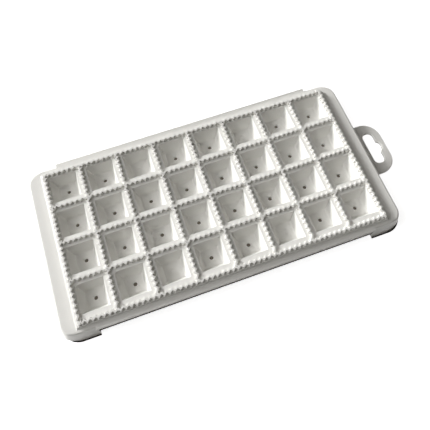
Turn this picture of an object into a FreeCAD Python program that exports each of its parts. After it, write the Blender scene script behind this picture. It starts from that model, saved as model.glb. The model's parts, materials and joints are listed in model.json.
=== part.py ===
import FreeCAD, Part
import math
import os
import Sketcher

# Ravioli tray, moulded in one piece. Lengths are in millimetres and angles in degrees.
# X runs along the tray towards its handle, Y across it, and Z up from the table that it stands on.
# The features are drawn about the middle of the grid of pockets.

DRIVING_SIZES = [
    ("cell_pitch", 35.0, "distance between pocket centres, both ways"),
    ("columns_count", 8, "pockets along the tray"),
    ("rows_count", 4, "pockets across the tray"),
    ("pocket_mouth", 25.4, "side of a pocket at the land"),
    ("pocket_floor", 17.4, "side of a pocket at its floor"),
    ("pocket_depth", 12.0, "land down to the pocket floor"),
    ("floor_height", 6.5, "table up to the pocket floor"),
    ("wall", 1.8, "thickness of the moulded wall"),
    ("vent_bore", 3.6, "diameter of the air hole in a pocket floor"),
    ("feed_mark", 5.0, "diameter of the round mark where the plastic was fed in"),
    ("feed_mark_depth", 0.4, "depth of that mark"),
    ("feed_column", 3, "column of the feed marks, counted from either end"),
    ("teeth_per_cell", 7.5, "ridge teeth in one cell pitch"),
    ("tooth_reach", 2.33, "sideways travel of the zigzag ridge"),
    ("ridge_width", 2.0, "ridge width, measured square to the line it runs along"),
    ("ridge_height", 2.2, "ridge top above the land"),
    ("block_margin", 2.7, "land outside the outer ridges"),
    ("block_height", 3.4, "land above the rim"),
    ("cove_radius", 2.6, "hollow between the block's side and the rim"),
    ("rim_end", 14.5, "outer ridge to the rim's edge at the two ends"),
    ("rim_side", 7.8, "outer ridge to the rim's edge at the long sides"),
    ("rim_corner", 12.0, "plan radius of the rim's corners"),
    ("rim_round", 2.2, "rounding of the rim's upper edge"),
    ("skirt_draft", 15.4, "slope of the skirt from upright"),
    ("ledge_span", 253.0, "length of the finger ledge on a long side"),
    ("ledge_reach", 2.8, "ledge edge beyond the rim's edge"),
    ("ledge_round", 0.8, "rounding of the ledge's upper edge"),
    ("handle_length", 24.1, "handle beyond the skirt's foot"),
    ("handle_width", 54.8, "handle across its two arms"),
    ("handle_corner", 16.0, "plan radius of the handle's outer corners"),
    ("handle_thickness", 2.4, "thickness of the handle"),
    ("handle_chamfer", 0.6, "chamfer of the handle's upper edges"),
    ("slot_length", 33.6, "hand slot across the handle"),
    ("slot_width", 10.7, "hand slot along the handle"),
    ("slot_corner", 4.8, "plan radius of the slot's corners"),
    ("slot_border", 7.4, "handle between the slot and its outer edge"),
    ("hook_radius", 6.4, "radius of the slot's round lobe for a hook"),
    ("hook_reach", 3.1, "lobe beyond the slot"),
]

NODE = "ravioli_tray"

# Places that several features share, as expressions on the sheet
LAND = "(sizes.floor_height + sizes.pocket_depth)"
RIM = "(" + LAND + " - sizes.block_height)"
RIM_UNDERSIDE = "(" + RIM + " - sizes.wall)"
GRID_X = "(sizes.cell_pitch * sizes.columns_count / 2)"
GRID_Y = "(sizes.cell_pitch * sizes.rows_count / 2)"
RIM_X = "(" + GRID_X + " + sizes.rim_end)"
RIM_Y = "(" + GRID_Y + " + sizes.rim_side)"
LEDGE_Y = "(" + RIM_Y + " + sizes.ledge_reach)"
BLOCK_X = "(" + GRID_X + " + sizes.block_margin)"
BLOCK_Y = "(" + GRID_Y + " + sizes.block_margin)"
FIRST_CELL_X = "(sizes.cell_pitch / 2 - " + GRID_X + ")"
FIRST_CELL_Y = "(sizes.cell_pitch / 2 - " + GRID_Y + ")"
SKIRT_SLOPE = "tan(sizes.skirt_draft * 1deg)"
FOOT_X = "(" + RIM_X + " + " + RIM + " * " + SKIRT_SLOPE + ")"
FOOT_Y = "(" + RIM_Y + " + " + RIM + " * " + SKIRT_SLOPE + ")"
# the skirt's inner face meets the rim's underside this far inside the rim's edge
SKIRT_INSET = "(sizes.wall / cos(sizes.skirt_draft * 1deg) - sizes.wall * " + SKIRT_SLOPE + ")"
POCKET_DRAFT = "atan((sizes.pocket_mouth - sizes.pocket_floor) / 2 / sizes.pocket_depth)"
# the cup, the outside of a pocket, is this much wider to each side than the pocket is at the same depth
CUP_SPREAD = "(sizes.wall / cos(" + POCKET_DRAFT + ") - sizes.wall * tan(" + POCKET_DRAFT + "))"
CUP_FLOOR = "sizes.pocket_floor / 2 + " + CUP_SPREAD
CUP_MOUTH = "sizes.pocket_mouth / 2 + " + CUP_SPREAD
TOOTH_PITCH = "(sizes.cell_pitch / sizes.teeth_per_cell)"
HANDLE_END = "(" + FOOT_X + " + sizes.handle_length)"
SLOT_END = "(" + HANDLE_END + " - sizes.slot_border)"


def around(half_x, half_y):
    """Left, right, lower and upper side of a rectangle about the tray's middle."""
    return ["-" + half_x, half_x, "-" + half_y, half_y]


def add_sheet(doc):
    """Puts each driving size in a cell of its own and gives the cell its name."""
    sheet = doc.addObject("Spreadsheet::Sheet", "sizes")
    for row, (alias, value, note) in enumerate(DRIVING_SIZES, start=1):
        sheet.set("A%d" % row, note)
        sheet.set("B%d" % row, str(value))
        sheet.setAlias("B%d" % row, alias)
    doc.recompute()
    return sheet


def value_of(sketch, expression):
    """What an expression on the sheet comes to now, as a plain number."""
    result = sketch.evalExpression(expression)
    return float(getattr(result, "Value", result))


def bind(sketch, kind, geometry, expression):
    """Adds a dimension between or on points of a sketch and ties it to the sheet."""
    index = sketch.addConstraint(Sketcher.Constraint(kind, *geometry, value_of(sketch, expression)))
    sketch.setExpression("Constraints[%d]" % index, expression)


def place_sides(sketch, lines, sides):
    """Ties the left, right, lower and upper line of an outline to the sketch's origin."""
    for line, kind, side in zip(lines, ("DistanceX", "DistanceX", "DistanceY", "DistanceY"), sides):
        bind(sketch, kind, (-1, 1, line, 1), side)


def add_rectangle(sketch, sides):
    """A rectangle with sharp corners, given by the expressions of its four sides."""
    left, right, lower, upper = [value_of(sketch, side) for side in sides]
    corners = [FreeCAD.Vector(x, y, 0) for x, y in ((left, lower), (right, lower), (right, upper), (left, upper))]
    first = sketch.GeometryCount
    for i in range(4):
        sketch.addGeometry(Part.LineSegment(corners[i], corners[(i + 1) % 4]), False)
    for i in range(4):
        sketch.addConstraint(Sketcher.Constraint("Coincident", first + i, 2, first + (i + 1) % 4, 1))
        sketch.addConstraint(Sketcher.Constraint(("Horizontal", "Vertical")[i % 2], first + i))
    place_sides(sketch, (first + 3, first + 1, first, first + 2), sides)


def add_rounded_rectangle(sketch, sides, radius):
    """A rectangle with four equal round corners, given by expressions."""
    left, right, lower, upper = [value_of(sketch, side) for side in sides]
    bend = value_of(sketch, radius)
    middles = ((right - bend, lower + bend), (right - bend, upper - bend),
               (left + bend, upper - bend), (left + bend, lower + bend))
    first = sketch.GeometryCount
    for i, (x, y) in enumerate(middles):
        circle = Part.Circle(FreeCAD.Vector(x, y, 0), FreeCAD.Vector(0, 0, 1), bend)
        sketch.addGeometry(Part.ArcOfCircle(circle, (i - 1) * math.pi / 2, i * math.pi / 2), False)
    for i in range(4):
        line = sketch.addGeometry(Part.LineSegment(sketch.getPoint(first + i, 2),
                                                   sketch.getPoint(first + (i + 1) % 4, 1)), False)
        sketch.addConstraint(Sketcher.Constraint("Tangent", first + i, 2, line, 1))
        sketch.addConstraint(Sketcher.Constraint("Tangent", line, 2, first + (i + 1) % 4, 1))
        sketch.addConstraint(Sketcher.Constraint(("Vertical", "Horizontal")[i % 2], line))
    for i in range(1, 4):
        sketch.addConstraint(Sketcher.Constraint("Equal", first, first + i))
    place_sides(sketch, (first + 6, first + 4, first + 7, first + 5), sides)
    bind(sketch, "Radius", (first,), radius)


def add_circle(sketch, x, y, diameter):
    """A circle at a place given by expressions."""
    middle = FreeCAD.Vector(value_of(sketch, x), value_of(sketch, y), 0)
    radius = diameter + " / 2"
    circle = sketch.addGeometry(Part.Circle(middle, FreeCAD.Vector(0, 0, 1), value_of(sketch, radius)), False)
    bind(sketch, "DistanceX", (-1, 1, circle, 3), x)
    bind(sketch, "DistanceY", (-1, 1, circle, 3), y)
    bind(sketch, "Radius", (circle,), radius)


def zigzag(half_length, tooth_pitch, reach):
    """Points of a zigzag along a line, as distance along it and step sideways.

    A tooth points the positive way at the line's middle, and the ends are cut square.
    """
    corner_count = int(half_length / (tooth_pitch / 2) + 1e-6)
    points = [(i * tooth_pitch / 2, reach / 2 if i % 2 == 0 else -reach / 2)
              for i in range(-corner_count, corner_count + 1)]
    left_over = half_length - corner_count * tooth_pitch / 2
    if left_over > 1e-6:
        along, step = points[-1]
        end_step = step * (1 - 4 * left_over / tooth_pitch)
        points = [(-half_length, end_step)] + points + [(half_length, end_step)]
    return points


class Tray:
    """The document, its sheet and the one body that the tray is."""

    def __init__(self):
        self.doc = FreeCAD.newDocument("ravioli_tray")
        self.sheet = add_sheet(self.doc)
        self.body = self.doc.addObject("PartDesign::Body", "tray")
        self.body.Label = NODE
        # the origin is the middle of the whole outline's base, so the tray stands half the handle back
        self.body.setExpression("Placement.Base.x", "-sizes.handle_length / 2")
        self.doc.recompute()

    def origin_item(self, role):
        """The body's own origin plane or axis with this role."""
        return [item for item in self.body.Origin.OriginFeatures if item.Role == role][0]

    def sketch(self, name, height):
        """A level sketch at a height above the table."""
        sketch = self.body.newObject("Sketcher::SketchObject", name)
        sketch.AttachmentSupport = [(self.origin_item("XY_Plane"), "")]
        sketch.MapMode = "FlatFace"
        sketch.setExpression("AttachmentOffset.Base.z", height)
        return sketch

    def settle(self, feature):
        """Makes a feature the body's tip, and stops where it did not build."""
        self.body.Tip = feature
        self.doc.recompute()
        if "Invalid" in feature.State or "Error" in feature.State:
            raise RuntimeError(feature.Name + " did not build")
        return feature

    def extrude(self, kind, name, sketch, length, down=False, draft=None):
        """Pads or pockets a sketch. A positive draft widens it along the way."""
        feature = self.body.newObject("PartDesign::" + kind, name)
        feature.Profile = sketch
        # a pad goes up and a pocket goes down unless it is turned round
        feature.Reversed = down if kind == "Pad" else not down
        feature.setExpression("Length", length)
        if draft:
            feature.setExpression("TaperAngle", draft)
        return self.settle(feature)

    def soften(self, kind, name, size, chosen):
        """Rounds or chamfers the edges of the tray so far whose boxes pass a test."""
        base = self.body.Tip
        names = ["Edge%d" % i for i, edge in enumerate(base.Shape.Edges, start=1) if chosen(edge.BoundBox)]
        feature = self.body.newObject("PartDesign::" + kind, name)
        feature.Base = (base, names)
        feature.setExpression({"Fillet": "Radius", "Chamfer": "Size"}[kind], size)
        return self.settle(feature)

    def over_cells(self, name, feature):
        """Repeats a feature of the first cell in every cell."""
        pattern = self.body.newObject("PartDesign::MultiTransform", name)
        pattern.Originals = [feature]
        steps = []
        for axis, count in (("X", "sizes.columns_count"), ("Y", "sizes.rows_count")):
            step = self.body.newObject("PartDesign::LinearPattern", name + "_along_" + axis.lower())
            step.Direction = (self.origin_item(axis + "_Axis"), [""])
            step.Mode = "Spacing"
            step.setExpression("Offset", "sizes.cell_pitch")
            step.setExpression("Occurrences", count)
            steps.append(step)
        pattern.Transformations = steps
        return self.settle(pattern)

    def height(self, expression):
        """A shared height as a plain number, for picking edges."""
        return value_of(self.body, expression)

    def make_shell(self):
        """The skirt with its rim, the raised block, the ledges and the handle, hollow below."""
        rim, tiny = self.height(RIM), 0.01
        outline = self.sketch("rim_outline", RIM)
        add_rounded_rectangle(outline, around(RIM_X, RIM_Y), "sizes.rim_corner")
        self.extrude("Pad", "skirt", outline, RIM, down=True, draft="sizes.skirt_draft")
        self.soften("Fillet", "rim_edge", "sizes.rim_round", lambda box: box.ZMin > rim - tiny)

        ledge_outline = self.sketch("ledge_outline", RIM)
        add_rectangle(ledge_outline, around("(sizes.ledge_span / 2)", LEDGE_Y))
        self.extrude("Pad", "ledges", ledge_outline, "sizes.wall", down=True)
        ledge_y = self.height(LEDGE_Y)
        self.soften("Fillet", "ledge_edges", "sizes.ledge_round",
                    lambda box: box.ZMin > rim - tiny and box.YLength < tiny and abs(box.YMax) > ledge_y - tiny)

        block_outline = self.sketch("block_outline", RIM)
        add_rectangle(block_outline, around(BLOCK_X, BLOCK_Y))
        self.extrude("Pad", "block", block_outline, "sizes.block_height")
        block_x, block_y = self.height(BLOCK_X) + tiny, self.height(BLOCK_Y) + tiny
        self.soften("Fillet", "cove", "sizes.cove_radius",
                    lambda box: box.ZLength < tiny and abs(box.ZMax - rim) < tiny
                    and box.XMax < block_x and box.YMax < block_y and box.YMin > -block_y)

        # the handle's upper edges are chamfered, so its top layer narrows on the way up
        bevel_height = "(sizes.handle_thickness - sizes.handle_chamfer)"
        for name, height, thickness, draft in (("handle", "0", bevel_height, None),
                                               ("handle_top", bevel_height, "sizes.handle_chamfer", "-45 deg")):
            plate = self.sketch(name + "_outline", height)
            add_rounded_rectangle(plate, [GRID_X, HANDLE_END, "-(sizes.handle_width / 2)", "sizes.handle_width / 2"],
                                  "sizes.handle_corner")
            self.extrude("Pad", name, plate, thickness, draft=draft)

        skirt_hollow = self.sketch("skirt_hollow_outline", RIM_UNDERSIDE)
        add_rounded_rectangle(skirt_hollow,
                              around("(" + RIM_X + " - " + SKIRT_INSET + ")", "(" + RIM_Y + " - " + SKIRT_INSET + ")"),
                              "sizes.rim_corner - " + SKIRT_INSET)
        self.extrude("Pocket", "skirt_hollow", skirt_hollow, RIM_UNDERSIDE, down=True, draft="sizes.skirt_draft")
        block_hollow = self.sketch("block_hollow_outline", RIM_UNDERSIDE)
        add_rectangle(block_hollow, around("(" + BLOCK_X + " - sizes.wall)", "(" + BLOCK_Y + " - sizes.wall)"))
        self.extrude("Pocket", "block_hollow", block_hollow, "sizes.block_height")

        finger_gap = self.sketch("finger_gap_outline", "0")
        add_rectangle(finger_gap, around("(sizes.ledge_span / 2)", FOOT_Y + " + sizes.wall"))
        self.extrude("Pocket", "finger_gaps", finger_gap, RIM_UNDERSIDE)

    def make_handle_slot(self):
        """The hand slot with its lobe for a hook, cut through the handle with chamfered edges."""
        for name, margin, depth, draft in (("", "0", "sizes.handle_thickness", None),
                                           ("_edges", "sizes.handle_chamfer", "sizes.handle_chamfer", "-45 deg")):
            slot = self.sketch("slot_outline" + name, "sizes.handle_thickness")
            half_length = "(sizes.slot_length / 2 + " + margin + ")"
            add_rounded_rectangle(slot, [SLOT_END + " - sizes.slot_width - " + margin, SLOT_END + " + " + margin,
                                         "-" + half_length, half_length], "(sizes.slot_corner + " + margin + ")")
            self.extrude("Pocket", "hand_slot" + name, slot, depth, down=True, draft=draft)
            lobe = self.sketch("hook_lobe_outline" + name, "sizes.handle_thickness")
            add_circle(lobe, SLOT_END + " + sizes.hook_reach - sizes.hook_radius", "0 mm",
                       "(2 * (sizes.hook_radius + " + margin + "))")
            self.extrude("Pocket", "hook_lobe" + name, lobe, depth, down=True, draft=draft)

    def add_wedge(self, kind, name, bottom, height, half_bottom, half_top):
        """A square block with sloping sides in the first cell, added or cut away."""
        wedge = self.body.newObject("PartDesign::" + kind + "Wedge", name)
        wedge.AttachmentSupport = [(self.origin_item("XY_Plane"), "")]
        wedge.MapMode = "FlatFace"
        # a wedge narrows along its own Y, so it is turned to stand on the table
        wedge.AttachmentOffset = FreeCAD.Placement(FreeCAD.Vector(), FreeCAD.Rotation(FreeCAD.Vector(1, 0, 0), 90))
        wedge.setExpression("AttachmentOffset.Base.x", FIRST_CELL_X)
        wedge.setExpression("AttachmentOffset.Base.y", FIRST_CELL_Y)
        wedge.setExpression("AttachmentOffset.Base.z", bottom)
        wedge.setExpression("Ymin", "0 mm")
        wedge.setExpression("Ymax", height)
        for side, half in (("", half_bottom), ("2", half_top)):
            for axis in "XZ":
                wedge.setExpression(axis + side + "min", "-(" + half + ")")
                wedge.setExpression(axis + side + "max", half)
        return self.settle(wedge)

    def make_pockets(self):
        """The cups that hang under the land, the pockets in them, and their holes and marks."""
        self.over_cells("cups", self.add_wedge("Additive", "cup", "sizes.floor_height - sizes.wall",
                                               "sizes.pocket_depth", CUP_FLOOR, CUP_MOUTH))
        self.over_cells("pockets", self.add_wedge("Subtractive", "pocket", "sizes.floor_height",
                                                  "sizes.pocket_depth", "sizes.pocket_floor / 2",
                                                  "sizes.pocket_mouth / 2"))

        vents = self.sketch("vent_outline", "sizes.floor_height")
        marks = self.sketch("feed_mark_outline", "sizes.floor_height")
        columns, rows = int(self.sheet.get("columns_count")), int(self.sheet.get("rows_count"))
        feed_column = int(self.sheet.get("feed_column"))
        for column in range(columns):
            for row in range(rows):
                x = FIRST_CELL_X + " + %d * sizes.cell_pitch" % column
                y = FIRST_CELL_Y + " + %d * sizes.cell_pitch" % row
                fed = row in (0, rows - 1) and column in (feed_column - 1, columns - feed_column)
                add_circle(marks if fed else vents, x, y, "sizes.feed_mark" if fed else "sizes.vent_bore")
        self.extrude("Pocket", "vents", vents, "sizes.wall", down=True)
        self.extrude("Pocket", "feed_marks", marks, "sizes.feed_mark_depth", down=True)

    def ridge_plan(self):
        """The zigzag ridges between the pockets, joined to one flat face with a window for each cell."""
        half_x, half_y = self.height(GRID_X), self.height(GRID_Y)
        pitch, width = self.height("sizes.cell_pitch"), self.height("sizes.ridge_width")
        columns, rows = int(self.sheet.get("columns_count")), int(self.sheet.get("rows_count"))
        strips = []
        # the ridge at the handle's end mirrors the one at the far end, and the others repeat it
        for column in range(columns + 1):
            step_sign = 1 if column < columns else -1
            strips.append(self.ridge_strip(half_y, column * pitch - half_x, False, step_sign, width))
        for row in range(rows + 1):
            strips.append(self.ridge_strip(half_x, row * pitch - half_y, True, -1, width))
        pieces = strips[0].multiFuse(strips[1:]).Faces
        return Part.Shell(pieces).removeSplitter().Faces[0]

    def ridge_strip(self, half_grid, line, along_x, step_sign, width):
        """One zigzag ridge seen from above, as a flat face.

        It runs half a width past the grid, so that two outer ridges close their corner. The
        middle tooth points to the positive or the negative side, as step_sign says.
        """
        tooth_pitch = self.height(TOOTH_PITCH)
        centre = zigzag(half_grid + width / 2, tooth_pitch, self.height("sizes.tooth_reach"))
        outline = [(along, line + step_sign * step + width / 2) for along, step in centre]
        outline += [(along, line + step_sign * step - width / 2) for along, step in reversed(centre)]
        corners = [FreeCAD.Vector(*(pair if along_x else pair[::-1]), 0) for pair in outline]
        face = Part.Face(Part.makePolygon(corners + corners[:1]))
        return face if face.normalAt(0, 0).z > 0 else face.reversed()

    def make_ridges(self):
        """Raises the ridges on the land."""
        plan = self.doc.addObject("Part::Feature", "ridge_plan")
        plan.Shape = self.ridge_plan()
        outline = self.body.newObject("PartDesign::SubShapeBinder", "ridge_outline")
        # the plan is drawn in the body's own frame, so the binder leaves the body's place out
        outline.Relative = False
        outline.Support = [(plan, ("Face1",))]
        outline.setExpression("Placement.Base.z", LAND)
        self.doc.recompute()
        ridges = self.body.newObject("PartDesign::Pad", "ridges")
        ridges.Profile = (outline, ["Face1"])
        ridges.Refine = False
        ridges.setExpression("Length", "sizes.ridge_height")
        self.settle(ridges)

    def check_and_write(self):
        """Stops on anything that failed, then writes the node's file."""
        failed = [item.Name for item in self.doc.Objects if "Invalid" in item.State or "Error" in item.State]
        shape = self.body.Shape
        if failed or shape.isNull() or not shape.isValid() or len(shape.Solids) != 1:
            raise RuntimeError("the tray did not build: " + ", ".join(failed))
        os.makedirs("parts", exist_ok=True)
        shape.exportStep("parts/" + self.body.Label + ".step")


def main():
    tray = Tray()
    tray.make_shell()
    tray.make_handle_slot()
    tray.make_pockets()
    tray.make_ridges()
    tray.check_and_write()


main()
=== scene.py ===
"""Looks of the ravioli tray: one white moulded piece on a white table, in soft light from its far left."""

import json
import logging
import math
from dataclasses import dataclass
from enum import Enum
from typing import Any

import bmesh
import bpy
from mathutils import Euler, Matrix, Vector


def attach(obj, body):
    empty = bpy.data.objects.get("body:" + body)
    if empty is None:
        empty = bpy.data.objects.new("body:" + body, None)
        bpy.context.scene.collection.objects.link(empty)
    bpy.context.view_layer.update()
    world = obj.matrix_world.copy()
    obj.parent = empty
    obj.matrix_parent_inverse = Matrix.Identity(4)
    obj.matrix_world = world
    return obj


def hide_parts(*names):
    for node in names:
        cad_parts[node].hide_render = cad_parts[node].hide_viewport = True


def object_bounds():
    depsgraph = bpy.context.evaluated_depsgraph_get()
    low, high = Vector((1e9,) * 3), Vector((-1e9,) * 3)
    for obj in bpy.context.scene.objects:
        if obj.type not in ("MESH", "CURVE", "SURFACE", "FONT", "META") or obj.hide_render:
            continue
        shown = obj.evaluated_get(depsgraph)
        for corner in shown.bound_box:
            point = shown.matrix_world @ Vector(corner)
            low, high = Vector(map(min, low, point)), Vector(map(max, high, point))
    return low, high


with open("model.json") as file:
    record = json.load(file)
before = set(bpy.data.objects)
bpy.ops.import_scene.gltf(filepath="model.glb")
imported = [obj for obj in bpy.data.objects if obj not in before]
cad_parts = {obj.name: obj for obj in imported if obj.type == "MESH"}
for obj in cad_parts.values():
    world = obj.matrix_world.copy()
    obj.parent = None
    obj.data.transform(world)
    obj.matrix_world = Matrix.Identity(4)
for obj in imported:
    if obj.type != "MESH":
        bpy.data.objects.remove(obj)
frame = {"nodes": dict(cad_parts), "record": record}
CAD_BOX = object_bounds()

MM = 0.001
WHITE = "#FFFFFF"
FINGER_GAP_HALF = 126.5 * MM
PLACE_DECIMALS = 4
ROUNDING = 1e-6
TRAY_NODE = "ravioli_tray"
BODY = "root"

log = logging.getLogger("ravioli_tray")


class Ray(Enum):
    """The kinds of ray that see the table as plain white."""

    CAMERA = "Is Camera Ray"
    GLOSSY = "Is Glossy Ray"
    TRANSMISSION = "Is Transmission Ray"


def linear(hex_colour: str) -> tuple[float, float, float, float]:
    """Turns an sRGB colour into the linear one that shaders take.

    Args:
        hex_colour: six hex digits after a hash.

    Returns:
        Red, green, blue and an alpha of 1.
    """
    channels = []
    for start in (1, 3, 5):
        value = int(hex_colour[start:start + 2], 16) / 255
        channels.append(value / 12.92 if value <= 0.04045 else ((value + 0.055) / 1.055) ** 2.4)
    return channels[0], channels[1], channels[2], 1.0


def add_node(tree: bpy.types.NodeTree, kind: str, links: dict[str | int, Any] | None = None,
             **settings: Any) -> bpy.types.Node:
    """Adds a shader node with its settings and links.

    Args:
        tree: the node tree that gets it.
        kind: the node's type name.
        links: for each input socket, by name or number, the output that feeds it or its plain value.
        settings: the node's own properties.

    Returns:
        The new node.
    """
    node = tree.nodes.new(kind)
    for name, value in settings.items():
        setattr(node, name, value)
    for name, source in (links or {}).items():
        socket = node.inputs[name]
        if isinstance(source, bpy.types.NodeSocket):
            tree.links.new(source, socket)
        else:
            socket.default_value = source
    return node


def empty_material(name: str) -> bpy.types.Material:
    """Makes a material with an empty node tree.

    Args:
        name: the material's name.

    Returns:
        The new material.
    """
    material = bpy.data.materials.new(name)
    material.use_nodes = True
    material.node_tree.nodes.clear()
    return material


def seen_directly(tree: bpy.types.NodeTree) -> bpy.types.NodeSocket:
    """Adds the nodes that tell the rays that see a background from those that carry its light.

    Args:
        tree: the node tree that gets them.

    Returns:
        An output that is 1 for the first and 0 for the others.
    """
    path = add_node(tree, "ShaderNodeLightPath")
    seen = path.outputs[Ray.CAMERA.value]
    for ray in (Ray.GLOSSY, Ray.TRANSMISSION):
        seen = add_node(tree, "ShaderNodeMath", {0: seen, 1: path.outputs[ray.value]},
                        operation="MAXIMUM").outputs["Value"]
    return seen


def add_object(name: str, mesh: bpy.types.Mesh, material: bpy.types.Material) -> bpy.types.Object:
    """Puts a mesh in the scene under a name, in one material.

    Args:
        name: the object's name.
        mesh: its mesh.
        material: its only material.

    Returns:
        The new object.
    """
    piece = bpy.data.objects.new(name, mesh)
    piece.data.materials.append(material)
    bpy.context.scene.collection.objects.link(piece)
    return piece


def bridge(mesh: bmesh.types.BMesh, first: list[bmesh.types.BMVert],
           second: list[bmesh.types.BMVert]) -> list[bmesh.types.BMFace]:
    """Joins two closed rings of points by a face for each side.

    Args:
        mesh: the mesh that holds the points and gets the faces.
        first: the points of one ring, in order.
        second: as many points of the other ring, in the same order.

    Returns:
        The new faces.
    """
    count = len(first)
    return [mesh.faces.new((first[i], first[(i + 1) % count], second[(i + 1) % count], second[i]))
            for i in range(count)]


@dataclass(frozen=True)
class PocketGrid:
    """Where the pockets are, from the openings that the record states. Lengths are in metres."""

    middles: tuple[Vector, ...]
    pitch: float
    columns: int
    rows: int

    @classmethod
    def from_frame(cls) -> "PocketGrid":
        """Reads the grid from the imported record.

        Returns:
            The grid of the pockets that the record states.
        """
        boxes = [opening["box_m"] for opening in frame["record"]["physics"]["openings"]
                 if opening["name"].startswith("pocket")]
        middles = tuple((Vector(low) + Vector(high)) / 2 for low, high in boxes)
        xs = sorted({round(middle.x, PLACE_DECIMALS) for middle in middles})
        ys = sorted({round(middle.y, PLACE_DECIMALS) for middle in middles})
        return cls(middles, xs[1] - xs[0], len(xs), len(ys))

    @property
    def middle(self) -> Vector:
        """The middle of the grid on the table."""
        total = sum(self.middles, Vector())
        return Vector((total.x / len(self.middles), total.y / len(self.middles), 0))

    @property
    def half_size(self) -> tuple[float, float]:
        """Half the grid's length along X and along Y."""
        return self.pitch * self.columns / 2, self.pitch * self.rows / 2


@dataclass(frozen=True)
class OuterRidges:
    """Where the outermost ridges stand beside the even grid, as the photograph shows them.

    Each step is a move in metres, from the place that the grid's pitch gives. What lies between the inner
    flank and the cove moves by all of it. The move fades to nothing at the pockets' mouth and at the rim.
    These four places are distances beyond the grid's edge.
    """

    end_step: float = 2.2 * MM
    side_step: float = 1.5 * MM
    mouth: float = -4.7 * MM
    inner_flank: float = -2.3 * MM
    cove: float = 5.4 * MM
    rim: float = 9.8 * MM

    def share(self, beyond: float) -> float:
        """Works out how much of a step a point takes.

        Args:
            beyond: how far the point lies beyond the grid's edge.

        Returns:
            From 0, none, to 1, all of it.
        """
        rising = (beyond - self.mouth) / (self.inner_flank - self.mouth)
        falling = (self.rim - beyond) / (self.rim - self.cove)
        return max(0.0, min(1.0, rising, falling))

    def shift(self, mesh: bmesh.types.BMesh, grid: PocketGrid) -> None:
        """Moves a mesh's points: the end ridges inwards, and both side ridges to the tray's near side.

        Args:
            mesh: the mesh, changed in place.
            grid: where the pockets are.
        """
        middle = grid.middle
        half_x, half_y = grid.half_size
        for vertex in mesh.verts:
            x, y = vertex.co.x - middle.x, vertex.co.y - middle.y
            vertex.co.x -= math.copysign(self.end_step, x) * self.share(abs(x) - half_x)
            vertex.co.y -= self.side_step * self.share(abs(y) - half_y)


@dataclass(frozen=True)
class MouldedPolypropylene:
    """White polypropylene, injection moulded against a lightly etched steel mould.

    The eye gets a clean white with a soft satin sheen, edges that glow a little where
    light passes through them, and very faint clouds where the plastic flowed and cooled.
    """

    colour: str = "#F7F6F2"
    cloud_colour: str = "#F4F3EE"
    roughness: float = 0.42
    smoother_by: float = 0.04
    rougher_by: float = 0.06
    ior: float = 1.49
    scatter_share: float = 0.15
    scatter_mm: float = 1.2
    cloud_mm: float = 40.0
    cloud_detail: float = 2.0
    cloud_roughness: float = 0.4
    etch_mm: float = 0.6
    etch_detail: float = 3.0
    etch_roughness: float = 0.6
    etch_depth_mm: float = 0.01
    etch_strength: float = 0.6

    def build(self) -> bpy.types.Material:
        """Builds the material's nodes.

        Returns:
            The finished material.
        """
        material = empty_material("polypropylene_moulded_white")
        tree = material.node_tree
        place = add_node(tree, "ShaderNodeTexCoord").outputs["Object"]
        clouds = add_node(tree, "ShaderNodeTexNoise",
                          {"Vector": place, "Scale": 1 / (self.cloud_mm * MM),
                           "Detail": self.cloud_detail, "Roughness": self.cloud_roughness})
        tint = add_node(tree, "ShaderNodeMix",
                        {"Factor": clouds.outputs["Fac"], "A": linear(self.colour),
                         "B": linear(self.cloud_colour)}, data_type="RGBA")
        # the real etching is about 0.05 mm, too fine for the picture, so it is drawn coarser
        etch = add_node(tree, "ShaderNodeTexNoise",
                        {"Vector": place, "Scale": 1 / (self.etch_mm * MM),
                         "Detail": self.etch_detail, "Roughness": self.etch_roughness})
        relief = add_node(tree, "ShaderNodeBump",
                          {"Height": etch.outputs["Fac"], "Distance": self.etch_depth_mm * MM,
                           "Strength": self.etch_strength})
        sheen = add_node(tree, "ShaderNodeMapRange",
                         {"Value": etch.outputs["Fac"], "To Min": self.roughness - self.smoother_by,
                          "To Max": self.roughness + self.rougher_by})
        # all three colours go equally far in the plastic, so its shaded edges stay grey
        shader = add_node(tree, "ShaderNodeBsdfPrincipled",
                          {"Base Color": tint.outputs["Result"], "Roughness": sheen.outputs["Result"],
                           "IOR": self.ior, "Normal": relief.outputs["Normal"],
                           "Subsurface Weight": self.scatter_share,
                           "Subsurface Radius": (1.0, 1.0, 1.0),
                           "Subsurface Scale": self.scatter_mm * MM})
        add_node(tree, "ShaderNodeOutputMaterial", {"Surface": shader.outputs["BSDF"]})
        return material


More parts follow.
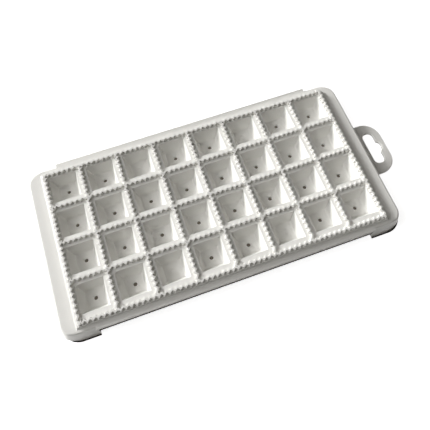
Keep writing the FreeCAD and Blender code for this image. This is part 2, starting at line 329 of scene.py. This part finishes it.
@dataclass(frozen=True)
class CoveredGround:
    """The ground that the tray covers: its foot's outline, less the two finger gaps.

    Lengths are in metres. The outline is moved by the step of its shadow, so that the painted shade
    shows beside the foot as a painted contact shadow, where the light would leave the ground dark.
    """

    middle: Vector
    half_x: float
    half_y: float
    corner: float = 16.0 * MM
    gap_half: float = FINGER_GAP_HALF
    gap_depth: float = 2.8 * MM
    # the painted shade is moved by this step, as a painted contact shadow beside the foot
    shadow_step: tuple[float, float, float] = (0.8 * MM, -1.2 * MM, 0.0)

    def mask(self, tree: bpy.types.NodeTree) -> tuple[bpy.types.NodeSocket, bpy.types.NodeSocket]:
        """Builds the nodes that tell covered ground from open ground.

        Args:
            tree: the table's node tree.

        Returns:
            An output that is 1 on covered ground and 0 elsewhere, and one that gives how far a point
            lies outside the outline's core, which is the outline less its corner radius all round.
        """
        place = add_node(tree, "ShaderNodeTexCoord").outputs["Object"]
        foot_core = (self.half_x - self.corner, self.half_y - self.corner, 0)
        gap_core = (self.gap_half, self.half_y - self.gap_depth, 0)
        steps = []
        for centre, core in ((self.middle + Vector(self.shadow_step), foot_core), (self.middle, gap_core)):
            offset = add_node(tree, "ShaderNodeVectorMath", {0: place, 1: centre}, operation="SUBTRACT")
            size = add_node(tree, "ShaderNodeVectorMath", {0: offset.outputs["Vector"]},
                            operation="ABSOLUTE")
            steps.append(add_node(tree, "ShaderNodeVectorMath", {0: size.outputs["Vector"], 1: core},
                                  operation="SUBTRACT").outputs["Vector"])
        beyond = add_node(tree, "ShaderNodeVectorMath", {0: steps[0], 1: (0, 0, 0)}, operation="MAXIMUM")
        reach = add_node(tree, "ShaderNodeVectorMath", {0: beyond.outputs["Vector"]}, operation="LENGTH")
        inside = add_node(tree, "ShaderNodeMath", {0: reach.outputs["Value"], 1: self.corner},
                          operation="LESS_THAN")
        axes = add_node(tree, "ShaderNodeSeparateXYZ", {"Vector": steps[1]})
        past_end = add_node(tree, "ShaderNodeMath", {0: axes.outputs["X"], 1: 0.0},
                            operation="GREATER_THAN")
        short_of_edge = add_node(tree, "ShaderNodeMath", {0: axes.outputs["Y"], 1: 0.0},
                                 operation="LESS_THAN")
        no_gap = add_node(tree, "ShaderNodeMath",
                          {0: past_end.outputs["Value"], 1: short_of_edge.outputs["Value"]},
                          operation="MAXIMUM")
        covered = add_node(tree, "ShaderNodeMath",
                           {0: inside.outputs["Value"], 1: no_gap.outputs["Value"]},
                           operation="MULTIPLY")
        return covered.outputs["Value"], reach.outputs["Value"]


@dataclass(frozen=True)
class WhiteTable:
    """Matt white card that the tray stands on.

    It takes the tray's shadow, and where light reaches it the camera sees plain white. The ground that
    the tray covers is painted with shade, so the vents and the gap below the finger ledge show dark, and
    it gets a faint painted glow for the light that comes through the plastic.
    """

    colour: str = "#F4F4F4"
    # painted shade: the dark colour given to the ground below the tray, where only shade falls
    painted_shade_colour: str = "#2A2724"
    lift: float = 0.86
    # painted glow: strength and warm hue of the light painted on the covered ground
    painted_glow_strength: float = 0.1
    painted_glow_hue: str = "#FFF0DA"

    def build(self, ground: CoveredGround) -> bpy.types.Material:
        """Builds the card's nodes.

        Args:
            ground: the ground that the tray covers.

        Returns:
            The finished material.
        """
        material = empty_material("card_matt_white_painted_shade")
        tree = material.node_tree
        covered, reach = ground.mask(tree)
        # painted shade on the covered ground, plain card colour elsewhere
        tone = add_node(tree, "ShaderNodeMix", {"Factor": covered, "A": linear(self.colour),
                                                "B": linear(self.painted_shade_colour)}, data_type="RGBA")
        card = add_node(tree, "ShaderNodeBsdfDiffuse", {"Color": tone.outputs["Result"]})
        # painted glow for the light that comes through the thin plastic, more below the pockets than near
        # the edge
        painted_through_glow = add_node(tree, "ShaderNodeMapRange", {"Value": reach, "From Max": ground.corner,
                                                        "To Min": self.painted_glow_strength, "To Max": 0.0})
        strength = add_node(tree, "ShaderNodeMapRange", {"Value": covered, "To Min": self.lift,
                                                         "To Max": painted_through_glow.outputs["Result"]})
        amount = add_node(tree, "ShaderNodeMath", {0: strength.outputs["Result"], 1: seen_directly(tree)},
                          operation="MULTIPLY")
        # painted glow's warm hue on the covered ground, white elsewhere
        hue = add_node(tree, "ShaderNodeMix", {"Factor": covered, "A": linear(WHITE),
                                               "B": linear(self.painted_glow_hue)}, data_type="RGBA")
        glow = add_node(tree, "ShaderNodeEmission", {"Color": hue.outputs["Result"],
                                                     "Strength": amount.outputs["Value"]})
        both = add_node(tree, "ShaderNodeAddShader", {0: card.outputs["BSDF"], 1: glow.outputs["Emission"]})
        add_node(tree, "ShaderNodeOutputMaterial", {"Surface": both.outputs["Shader"]})
        return material


def piece_from(mesh: bmesh.types.BMesh, name: str, material: bpy.types.Material) -> bpy.types.Object:
    """Turns a finished bmesh into a piece that rides on the tray's body.

    Args:
        mesh: the mesh, which is freed here.
        name: the piece's name.
        material: its material.

    Returns:
        The new object.
    """
    data = bpy.data.meshes.new(name)
    mesh.to_mesh(data)
    mesh.free()
    piece = add_object(name, data, material)
    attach(piece, BODY)
    log.info("%s: %d faces", name, len(data.polygons))
    return piece


@dataclass
class PocketFillets:
    """The rounded edge between the floor and the four walls of every pocket. Lengths are in metres."""

    floor_height: float = 6.5 * MM
    floor_half: float = 8.7 * MM
    depth: float = 12.0 * MM
    mouth_half: float = 12.7 * MM
    radius: float = 2.4 * MM
    arc_steps: int = 7

    def section(self) -> list[tuple[float, float]]:
        """Works out the fillet's section.

        Returns:
            Distances from the pocket's middle, each with its height above the floor, going up.
        """
        slope = math.atan((self.mouth_half - self.floor_half) / self.depth)
        reach = self.floor_half + self.radius * (math.tan(slope) - 1 / math.cos(slope))
        turns = [step / self.arc_steps * (math.pi / 2 - slope) for step in range(self.arc_steps + 1)]
        return [(reach + self.radius * math.sin(turn), self.radius * (1 - math.cos(turn)))
                for turn in turns]

    def build(self, grid: PocketGrid, material: bpy.types.Material) -> bpy.types.Object:
        """Builds the fillets of all pockets, mitred in the corners as the cutter leaves them.

        Args:
            grid: where the pockets are.
            material: the tray's plastic.

        Returns:
            The new object.
        """
        mesh = bmesh.new()
        corners = ((1, 1), (-1, 1), (-1, -1), (1, -1))
        for middle in grid.middles:
            loops = [[mesh.verts.new((middle.x + x * half, middle.y + y * half, self.floor_height + height))
                      for x, y in corners] for half, height in self.section()]
            for lower, upper in zip(loops, loops[1:]):
                for face in bridge(mesh, lower, upper):
                    face.smooth = True
                for low_corner, high_corner in zip(lower, upper):
                    mesh.edges.get((low_corner, high_corner)).smooth = False
        mesh.normal_update()
        return piece_from(mesh, "pocket_fillets", material)


@dataclass
class RidgeFlanks:
    """The draft of the zigzag ridges: each ridge is a little wider at the land than at its top.

    Lengths are in metres. A ridge's half width is measured square to the line that it runs along.
    """

    land: float = 18.5 * MM
    top: float = 20.55 * MM
    top_half: float = 1.0 * MM
    foot_half: float = 1.3 * MM
    overrun: float = 1.0 * MM
    root: float = 0.05 * MM
    teeth_per_cell: float = 7.5
    tooth_reach: float = 2.33 * MM

    def centre_line(self, half_grid: float, pitch: float) -> list[tuple[float, float]]:
        """Works out a ridge's zigzag.

        Args:
            half_grid: half the length of the grid along the ridge.
            pitch: the distance between two teeth.

        Returns:
            Distances along the ridge, each with its step sideways. A tooth points the positive way
            at the middle.
        """
        half_length = half_grid + self.overrun
        count = int(half_length / (pitch / 2) + ROUNDING)
        points = [(i * pitch / 2, self.tooth_reach / 2 * (1 if i % 2 == 0 else -1))
                  for i in range(-count, count + 1)]
        left_over = half_length - count * pitch / 2
        # in half a pitch the zigzag goes from one side to the other, and its end takes a share of that
        end_step = points[-1][1] * (1 - 4 * left_over / pitch)
        return [(-half_length, end_step)] + points + [(half_length, end_step)]

    def add_ridge(self, mesh: bmesh.types.BMesh, points: list[tuple[float, float]], line: Vector,
                  along_x: bool, sign: int) -> None:
        """Adds one ridge as a closed strip.

        Args:
            mesh: the mesh that gets it.
            points: its centre line.
            line: a point of the line that it runs along, at the grid's middle.
            along_x: whether it runs along X.
            sign: the side that its middle tooth points to.
        """
        # half width, height, and how much further its ends reach
        foot = (self.foot_half, self.land - self.root, self.foot_half - self.top_half)
        top = (self.top_half, self.top, 0.0)
        last = len(points) - 1
        rings = []
        for i, (along, step) in enumerate(points):
            ring = []
            for side, (half, height, stretch) in ((-1, foot), (-1, top), (1, top), (1, foot)):
                end = {0: -stretch, last: stretch}.get(i, 0.0)
                across = sign * step + side * half
                place = (along + end, across) if along_x else (across, along + end)
                ring.append(mesh.verts.new((line.x + place[0], line.y + place[1], height)))
            rings.append(ring)
        for first, second in zip(rings, rings[1:]):
            bridge(mesh, first, second)
        mesh.faces.new(rings[0][::-1])
        mesh.faces.new(rings[-1])

    def build(self, grid: PocketGrid, outer: OuterRidges, material: bpy.types.Material) -> bpy.types.Object:
        """Builds the flanks of all ridges as one piece.

        Args:
            grid: where the pockets are.
            outer: where the outermost ridges stand.
            material: the tray's plastic.

        Returns:
            The new object.
        """
        mesh = bmesh.new()
        middle, tooth_pitch = grid.middle, grid.pitch / self.teeth_per_cell
        half_x, half_y = grid.half_size
        # the ridge at the handle's end mirrors the one at the far end
        for column in range(grid.columns + 1):
            self.add_ridge(mesh, self.centre_line(half_y, tooth_pitch),
                           middle + Vector((column * grid.pitch - half_x, 0, 0)), False,
                           1 if column < grid.columns else -1)
        for row in range(grid.rows + 1):
            self.add_ridge(mesh, self.centre_line(half_x, tooth_pitch),
                           middle + Vector((0, row * grid.pitch - half_y, 0)), True, -1)
        outer.shift(mesh, grid)
        bmesh.ops.recalc_face_normals(mesh, faces=mesh.faces)
        return piece_from(mesh, "ridge_flanks", material)


@dataclass
class Moulding:
    """The tray itself, from the solid, with its near finger gap opened and its edges softened.

    Lengths are in metres.
    """

    weld: float = 0.001 * MM
    gap_half: float = FINGER_GAP_HALF
    foot_inside: float = 2.0 * MM
    foot_height: float = 6.6 * MM
    edge_radius: float = 0.12 * MM
    edge_segments: int = 2
    sharp_angle: float = math.radians(30)

    def foot_faces(self, mesh: bmesh.types.BMesh) -> list[bmesh.types.BMFace]:
        """Finds the faces of the near skirt's foot.

        Args:
            mesh: the tray's mesh.

        Returns:
            The faces.
        """
        inside = CAD_BOX[0].y + self.foot_inside
        return [face for face in mesh.faces if max(vertex.co.y for vertex in face.verts) < inside
                and min(vertex.co.z for vertex in face.verts) < self.foot_height]

    def open_finger_gap(self, mesh: bmesh.types.BMesh, grid: PocketGrid) -> None:
        """Clears the strip of the skirt's foot that the solid keeps across the near finger gap.

        Args:
            mesh: the tray's mesh, changed in place.
            grid: where the pockets are, with the gap at its middle.
        """
        on_plane = self.weld / 10
        for side in (-1, 1):
            faces = self.foot_faces(mesh)
            edges = dict.fromkeys(edge for face in faces for edge in face.edges)
            points = dict.fromkeys(vertex for face in faces for vertex in face.verts)
            bmesh.ops.bisect_plane(mesh, geom=[*faces, *edges, *points], dist=on_plane,
                                   plane_co=(grid.middle.x + side * self.gap_half, 0, 0),
                                   plane_no=(1, 0, 0))
        strip = [face for face in self.foot_faces(mesh)
                 if abs(face.calc_center_median().x - grid.middle.x) < self.gap_half - self.weld
                 and max(vertex.co.z for vertex in face.verts) < self.foot_height]
        bmesh.ops.delete(mesh, geom=strip, context="FACES")
        bmesh.ops.holes_fill(mesh, edges=[edge for edge in mesh.edges if edge.is_boundary], sides=0)
        log.info("finger gap: %d faces cleared, %d open edges left",
                 len(strip), sum(edge.is_boundary for edge in mesh.edges))

    def build(self, grid: PocketGrid, outer: OuterRidges, material: bpy.types.Material) -> bpy.types.Object:
        """Builds the moulding in place of the solid.

        Args:
            grid: where the pockets are.
            outer: where the outermost ridges stand.
            material: the tray's plastic.

        Returns:
            The new object.
        """
        mesh = bmesh.new()
        mesh.from_mesh(frame["nodes"][TRAY_NODE].data)
        bmesh.ops.remove_doubles(mesh, verts=mesh.verts, dist=self.weld)
        self.open_finger_gap(mesh, grid)
        outer.shift(mesh, grid)
        bmesh.ops.recalc_face_normals(mesh, faces=mesh.faces)
        for face in mesh.faces:
            face.smooth = True
            face.material_index = 0
        piece = piece_from(mesh, "tray_moulding", material)
        piece.data.set_sharp_from_angle(angle=self.sharp_angle)
        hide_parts(TRAY_NODE)
        bevel = piece.modifiers.new("mould_edges", "BEVEL")
        bevel.width = self.edge_radius
        bevel.segments = self.edge_segments
        bevel.limit_method = "ANGLE"
        bevel.angle_limit = self.sharp_angle
        return piece


@dataclass
class Tray:
    """The moulded tray: the moulding and the fine forms on it, all in one plastic."""

    outer: OuterRidges = OuterRidges()

    def build(self, grid: PocketGrid) -> None:
        """Builds the moulding, the pockets' fillets and the ridges' flanks.

        Args:
            grid: where the pockets are.
        """
        plastic = MouldedPolypropylene().build()
        Moulding().build(grid, self.outer, plastic)
        PocketFillets().build(grid, plastic)
        RidgeFlanks().build(grid, self.outer, plastic)


@dataclass(frozen=True)
class SoftLamp:
    """A distant soft lamp.

    Azimuth turns from +X towards +Y, and elevation is above the table, both in degrees. Spread is
    the lamp's width as the tray sees it, in degrees.
    """

    name: str
    azimuth: float
    elevation: float
    spread: float
    strength: float

    def build(self) -> None:
        """Makes the lamp and turns it to the tray."""
        data = bpy.data.lights.new(self.name, "SUN")
        data.energy = self.strength
        data.angle = math.radians(self.spread)
        lamp = bpy.data.objects.new(self.name, data)
        turn, lift = math.radians(self.azimuth), math.radians(self.elevation)
        toward = Vector((math.cos(turn) * math.cos(lift), math.sin(turn) * math.cos(lift), math.sin(lift)))
        lamp.rotation_euler = toward.to_track_quat("Z", "Y").to_euler()
        bpy.context.scene.collection.objects.link(lamp)


@dataclass
class Studio:
    """The white table, three soft lamps at the far left and the even light all round."""

    table_half: float = 3.0
    lamps: tuple[SoftLamp, ...] = (
        SoftLamp("key", azimuth=141, elevation=22, spread=14, strength=3.2),
        SoftLamp("side", azimuth=172, elevation=40, spread=24, strength=0.68),
        SoftLamp("high", azimuth=140, elevation=50, spread=30, strength=0.36),
    )
    fill_colour: str = "#FFF3DF"
    fill_strength: float = 0.05

    def table(self, grid: PocketGrid) -> bpy.types.Object:
        """Makes the table, with painted shade on the ground that the tray covers.

        Args:
            grid: where the pockets are, in the middle of that ground.

        Returns:
            The new object.
        """
        low, high = CAD_BOX
        half = self.table_half
        mesh = bpy.data.meshes.new("table")
        corners = [(-half, -half, 0), (half, -half, 0), (half, half, 0), (-half, half, 0)]
        mesh.from_pydata(corners, [], [(0, 1, 2, 3)])
        # the handle reaches past the tray's foot at the other end only
        ground = CoveredGround(grid.middle, grid.middle.x - low.x, high.y - grid.middle.y)
        material = WhiteTable().build(ground)
        return add_object("table", mesh, material)

    def fill(self) -> None:
        """Makes the even light that comes from all sides, before a background that is seen as white."""
        world = bpy.data.worlds.new("studio")
        world.use_nodes = True
        tree = world.node_tree
        tree.nodes.clear()
        seen = seen_directly(tree)
        hue = add_node(tree, "ShaderNodeMix", {"Factor": seen, "A": linear(self.fill_colour),
                                               "B": linear(WHITE)}, data_type="RGBA")
        strength = add_node(tree, "ShaderNodeMapRange",
                            {"Value": seen, "To Min": self.fill_strength, "To Max": 1.0})
        even = add_node(tree, "ShaderNodeBackground", {"Color": hue.outputs["Result"],
                                                       "Strength": strength.outputs["Result"]})
        add_node(tree, "ShaderNodeOutputWorld", {"Surface": even.outputs["Background"]})
        bpy.context.scene.world = world

    def build(self, grid: PocketGrid) -> None:
        """Makes the table and the light.

        Args:
            grid: where the pockets are.
        """
        self.table(grid)
        for lamp in self.lamps:
            lamp.build()
        self.fill()
        log.info("studio: table, %d lamps and fill light", len(self.lamps))


@dataclass
class PhotoCamera:
    """The camera, at the photograph's viewpoint above the tray's near left.

    Its place is measured from the middle of the grid of pockets on the table, in metres.
    """

    place: tuple[float, float, float] = (-0.04457, -0.14720, 0.37136)
    turn_degrees: tuple[float, float, float] = (20.8069, 0.4920, -19.5578)
    frame_pixels: float = 430.0
    focal_pixels: float = 425.34
    sensor_mm: float = 36.0
    nearest: float = 0.01

    def build(self, grid: PocketGrid) -> None:
        """Makes the camera and gives it to the scene.

        Args:
            grid: where the pockets are.
        """
        data = bpy.data.cameras.new("photo_camera")
        data.sensor_width = self.sensor_mm
        data.lens = self.sensor_mm * self.focal_pixels / self.frame_pixels
        data.clip_start = self.nearest
        camera = bpy.data.objects.new("photo_camera", data)
        camera.location = grid.middle + Vector(self.place)
        camera.rotation_euler = Euler([math.radians(angle) for angle in self.turn_degrees])
        bpy.context.scene.collection.objects.link(camera)
        bpy.context.scene.camera = camera
        log.info("camera: %.1f mm lens", data.lens)


def main() -> None:
    """Builds the scene in order."""
    logging.basicConfig(level=logging.INFO, format="%(message)s")
    bpy.context.scene.view_settings.view_transform = "Standard"
    grid = PocketGrid.from_frame()
    PhotoCamera().build(grid)
    Tray().build(grid)
    Studio().build(grid)


if __name__ == "__main__":
    main()
